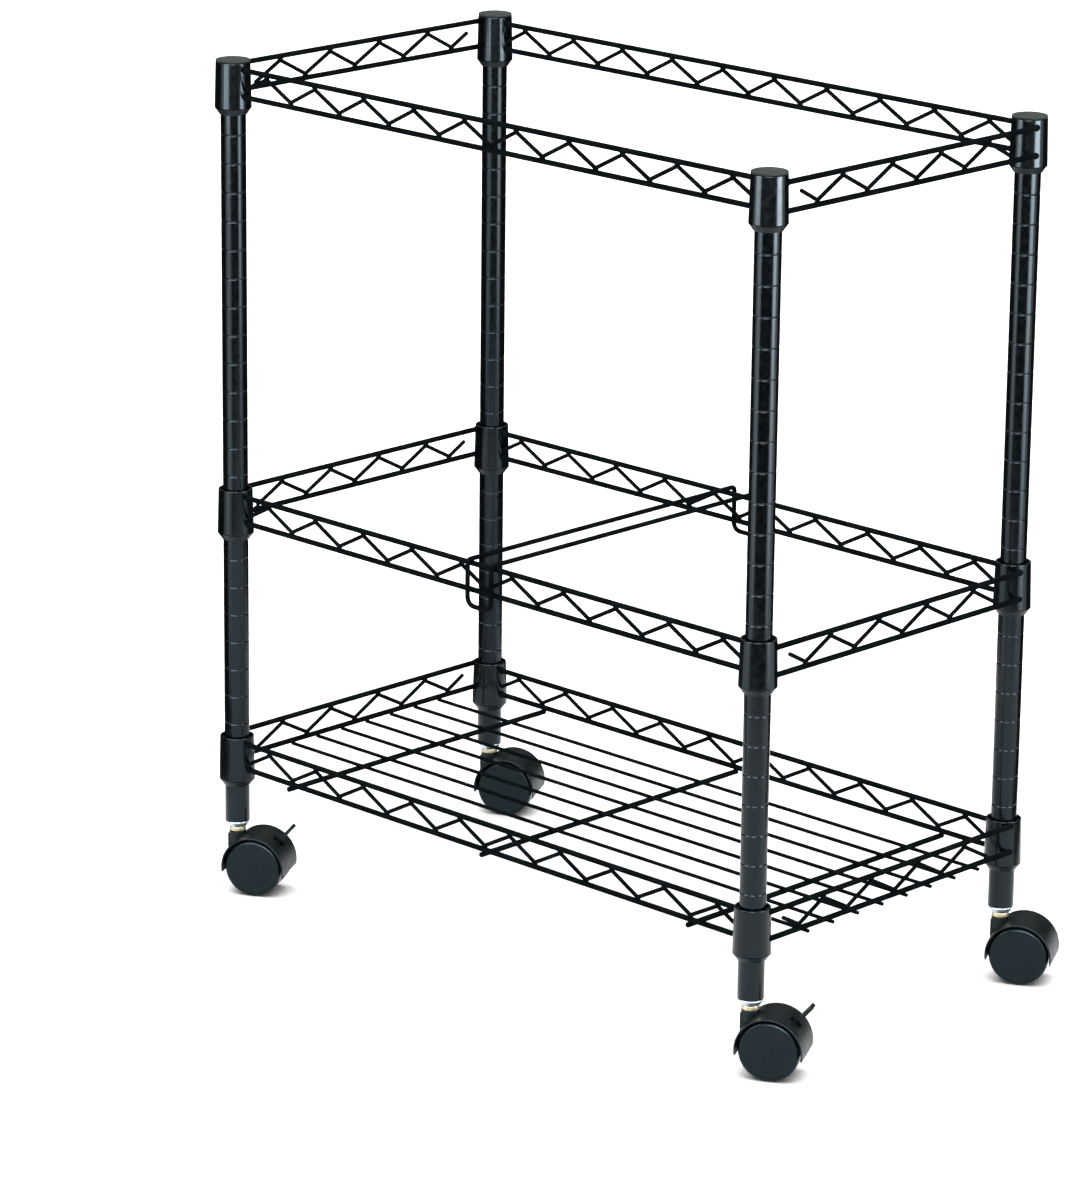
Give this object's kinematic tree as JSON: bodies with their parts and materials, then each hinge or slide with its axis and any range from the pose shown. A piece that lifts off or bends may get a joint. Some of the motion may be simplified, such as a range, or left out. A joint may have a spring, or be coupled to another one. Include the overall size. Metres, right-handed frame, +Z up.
{
  "type": "mobile file cart",
  "caption": "Black wire file cart on grooved posts with open file frames, a sliding divider, a wire bottom shelf and hooded twin-wheel casters, the front ones with brakes.",
  "frame": {"origin": "on the floor, midway between the four posts", "axes": "+Z up, +X along the long side to the right, the front at -Y"},
  "size_m": [0.6918, 0.3848, 0.756],
  "materials": {
    "coated_steel": "semi-gloss black powder coat",
    "black_plastic": "satin black moulded plastic",
    "wheel_plastic": "satin black-grey wheel",
    "zinc_steel": "bright zinc plate",
    "yellow_zinc": "yellow zinc plate"
  },
  "bodies": {
    "cart": {"post_front_left": "coated_steel", "post_cap_front_left": "black_plastic", "post_insert_front_left": "zinc_steel", "post_front_right": "coated_steel", "post_cap_front_right": "black_plastic", "post_insert_front_right": "zinc_steel", "post_rear_right": "coated_steel", "post_cap_rear_right": "black_plastic", "post_insert_rear_right": "zinc_steel", "post_rear_left": "coated_steel", "post_cap_rear_left": "black_plastic", "post_insert_rear_left": "zinc_steel", "top_front_truss": "coated_steel", "top_rear_truss": "coated_steel", "top_right_end_frame": "coated_steel", "top_left_end_frame": "coated_steel", "top_sleeve_front_left": "black_plastic", "top_sleeve_front_right": "black_plastic", "top_sleeve_rear_right": "black_plastic", "top_sleeve_rear_left": "black_plastic", "middle_front_truss": "coated_steel", "middle_rear_truss": "coated_steel", "middle_right_end_frame": "coated_steel", "middle_left_end_frame": "coated_steel", "middle_sleeve_front_left": "black_plastic", "middle_sleeve_front_right": "black_plastic", "middle_sleeve_rear_right": "black_plastic", "middle_sleeve_rear_left": "black_plastic", "bottom_front_truss": "coated_steel", "bottom_rear_truss": "coated_steel", "bottom_right_end_frame": "coated_steel", "bottom_left_end_frame": "coated_steel", "bottom_sleeve_front_left": "black_plastic", "bottom_sleeve_front_right": "black_plastic", "bottom_sleeve_rear_right": "black_plastic", "bottom_sleeve_rear_left": "black_plastic", "bottom_shelf_grid": "coated_steel", "caster_stem_front_left": "yellow_zinc", "caster_stem_front_right": "yellow_zinc", "caster_stem_rear_right": "yellow_zinc", "caster_stem_rear_left": "yellow_zinc"},
    "divider": {"file_divider": "coated_steel"},
    "caster_front_left": {"caster_hood_front_left": "black_plastic", "caster_axle_front_left": "zinc_steel"},
    "wheel_near_front_left": {"caster_wheel_near_front_left": "wheel_plastic"},
    "wheel_far_front_left": {"caster_wheel_far_front_left": "wheel_plastic"},
    "pedal_front_left": {"brake_pedal_front_left": "black_plastic"},
    "caster_front_right": {"caster_hood_front_right": "black_plastic", "caster_axle_front_right": "zinc_steel"},
    "wheel_near_front_right": {"caster_wheel_near_front_right": "wheel_plastic"},
    "wheel_far_front_right": {"caster_wheel_far_front_right": "wheel_plastic"},
    "pedal_front_right": {"brake_pedal_front_right": "black_plastic"},
    "caster_rear_right": {"caster_hood_rear_right": "black_plastic", "caster_axle_rear_right": "zinc_steel"},
    "wheel_near_rear_right": {"caster_wheel_near_rear_right": "wheel_plastic"},
    "wheel_far_rear_right": {"caster_wheel_far_rear_right": "wheel_plastic"},
    "caster_rear_left": {"caster_hood_rear_left": "black_plastic", "caster_axle_rear_left": "zinc_steel"},
    "wheel_near_rear_left": {"caster_wheel_near_rear_left": "wheel_plastic"},
    "wheel_far_rear_left": {"caster_wheel_far_rear_left": "wheel_plastic"}
  },
  "joints": [
    {"name": "divider_slide", "type": "slide", "parent": "cart", "child": "divider", "axis": [1, 0, 0], "range_m": [-0.275, 0.275]},
    {"name": "swivel_front_left", "type": "hinge", "parent": "cart", "child": "caster_front_left", "pos_m": [-0.3105, -0.16, 0.05], "axis": [0, 0, 1], "continuous": true},
    {"name": "spin_near_front_left", "type": "hinge", "parent": "caster_front_left", "child": "wheel_near_front_left", "pos_m": [-0.29301, -0.1503, 0.026], "axis": [-0.4848, 0.8746, 0], "continuous": true},
    {"name": "spin_far_front_left", "type": "hinge", "parent": "caster_front_left", "child": "wheel_far_front_left", "pos_m": [-0.29301, -0.1503, 0.026], "axis": [-0.4848, 0.8746, 0], "continuous": true},
    {"name": "brake_front_left", "type": "hinge", "parent": "caster_front_left", "child": "pedal_front_left", "pos_m": [-0.28096, -0.14362, 0.04185], "axis": [-0.4848, 0.8746, 0], "range_deg": [0, 22]},
    {"name": "swivel_front_right", "type": "hinge", "parent": "cart", "child": "caster_front_right", "pos_m": [0.3105, -0.16, 0.05], "axis": [0, 0, 1], "continuous": true},
    {"name": "spin_near_front_right", "type": "hinge", "parent": "caster_front_right", "child": "wheel_near_front_right", "pos_m": [0.32799, -0.1503, 0.026], "axis": [-0.4848, 0.8746, 0], "continuous": true},
    {"name": "spin_far_front_right", "type": "hinge", "parent": "caster_front_right", "child": "wheel_far_front_right", "pos_m": [0.32799, -0.1503, 0.026], "axis": [-0.4848, 0.8746, 0], "continuous": true},
    {"name": "brake_front_right", "type": "hinge", "parent": "caster_front_right", "child": "pedal_front_right", "pos_m": [0.34004, -0.14362, 0.04185], "axis": [-0.4848, 0.8746, 0], "range_deg": [0, 22]},
    {"name": "swivel_rear_right", "type": "hinge", "parent": "cart", "child": "caster_rear_right", "pos_m": [0.3105, 0.16, 0.05], "axis": [0, 0, 1], "continuous": true},
    {"name": "spin_near_rear_right", "type": "hinge", "parent": "caster_rear_right", "child": "wheel_near_rear_right", "pos_m": [0.32799, 0.1697, 0.026], "axis": [-0.4848, 0.8746, 0], "continuous": true},
    {"name": "spin_far_rear_right", "type": "hinge", "parent": "caster_rear_right", "child": "wheel_far_rear_right", "pos_m": [0.32799, 0.1697, 0.026], "axis": [-0.4848, 0.8746, 0], "continuous": true},
    {"name": "swivel_rear_left", "type": "hinge", "parent": "cart", "child": "caster_rear_left", "pos_m": [-0.3105, 0.16, 0.05], "axis": [0, 0, 1], "continuous": true},
    {"name": "spin_near_rear_left", "type": "hinge", "parent": "caster_rear_left", "child": "wheel_near_rear_left", "pos_m": [-0.29301, 0.1697, 0.026], "axis": [-0.4848, 0.8746, 0], "continuous": true},
    {"name": "spin_far_rear_left", "type": "hinge", "parent": "caster_rear_left", "child": "wheel_far_rear_left", "pos_m": [-0.29301, 0.1697, 0.026], "axis": [-0.4848, 0.8746, 0], "continuous": true}
  ]
}
